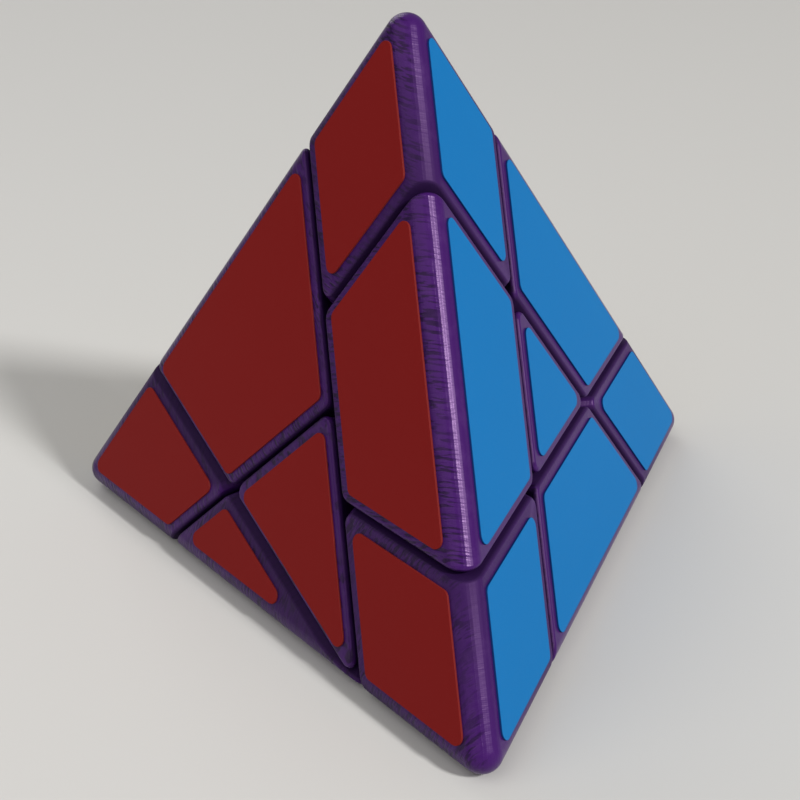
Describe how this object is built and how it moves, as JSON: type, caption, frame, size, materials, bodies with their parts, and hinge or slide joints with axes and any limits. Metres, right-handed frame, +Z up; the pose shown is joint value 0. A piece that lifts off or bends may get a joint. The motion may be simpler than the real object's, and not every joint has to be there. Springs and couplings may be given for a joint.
{
  "type": "pyramid twisty puzzle",
  "caption": "Tetrahedral twisty puzzle with offset cuts: corner, edge and centre pieces with flat coloured stickers, on a ball core with sprung screws.",
  "frame": {"origin": "centre of the box's bottom, on the surface that the bottom face rests on", "axes": "+Z up, through the top corner; +X to the right and +Y to the back when the front corner points at the viewer"},
  "size_m": [0.1016, 0.0889, 0.0843],
  "materials": {
    "purple_plastic": "printed in layers, satin, with fine ridges and worn highlights on the rounded edges",
    "core_plastic": "printed black plastic, satin",
    "steel": "zinc plated",
    "red_sticker": "satin vinyl film",
    "blue_sticker": "satin vinyl film",
    "yellow_sticker": "satin vinyl film",
    "green_sticker": "satin vinyl film"
  },
  "bodies": {
    "core_half": {"core": "core_plastic", "left_corner": "purple_plastic", "top_left_edge": "purple_plastic", "left_front_edge": "purple_plastic", "left_right_edge": "purple_plastic", "bottom_centre": "purple_plastic", "yellow_centre": "purple_plastic", "red_centre": "purple_plastic", "bottom_screw": "steel", "bottom_spring": "steel", "bottom_washer": "steel", "bottom_cap": "purple_plastic", "blue_screw": "steel", "blue_spring": "steel", "blue_washer": "steel", "yellow_screw": "steel", "yellow_spring": "steel", "yellow_washer": "steel", "yellow_cap": "purple_plastic", "red_screw": "steel", "red_spring": "steel", "red_washer": "steel", "red_cap": "purple_plastic", "bottom_sticker_left_corner": "green_sticker", "bottom_sticker_left_front_edge": "green_sticker", "bottom_sticker_left_right_edge": "green_sticker", "bottom_sticker_bottom_centre": "green_sticker", "yellow_sticker_left_corner": "yellow_sticker", "yellow_sticker_top_left_edge": "yellow_sticker", "yellow_sticker_left_right_edge": "yellow_sticker", "yellow_sticker_yellow_centre": "yellow_sticker", "red_sticker_left_corner": "red_sticker", "red_sticker_top_left_edge": "red_sticker", "red_sticker_left_front_edge": "red_sticker", "red_sticker_red_centre": "red_sticker"},
    "turning_half": {"top_corner": "purple_plastic", "front_corner": "purple_plastic", "right_corner": "purple_plastic", "top_front_edge": "purple_plastic", "top_right_edge": "purple_plastic", "front_right_edge": "purple_plastic", "blue_centre": "purple_plastic", "blue_cap": "purple_plastic", "bottom_sticker_front_corner": "green_sticker", "bottom_sticker_right_corner": "green_sticker", "bottom_sticker_front_right_edge": "green_sticker", "blue_sticker_top_corner": "blue_sticker", "blue_sticker_front_corner": "blue_sticker", "blue_sticker_right_corner": "blue_sticker", "blue_sticker_top_front_edge": "blue_sticker", "blue_sticker_top_right_edge": "blue_sticker", "blue_sticker_front_right_edge": "blue_sticker", "blue_sticker_blue_centre": "blue_sticker", "yellow_sticker_top_corner": "yellow_sticker", "yellow_sticker_right_corner": "yellow_sticker", "yellow_sticker_top_right_edge": "yellow_sticker", "red_sticker_top_corner": "red_sticker", "red_sticker_front_corner": "red_sticker", "red_sticker_top_front_edge": "red_sticker"}
  },
  "joints": [
    {"name": "half_turn", "type": "hinge", "parent": "core_half", "child": "turning_half", "pos_m": [0, 0.01383, 0.02275], "axis": [0.8165, -0.4714, 0.3333], "continuous": true}
  ]
}
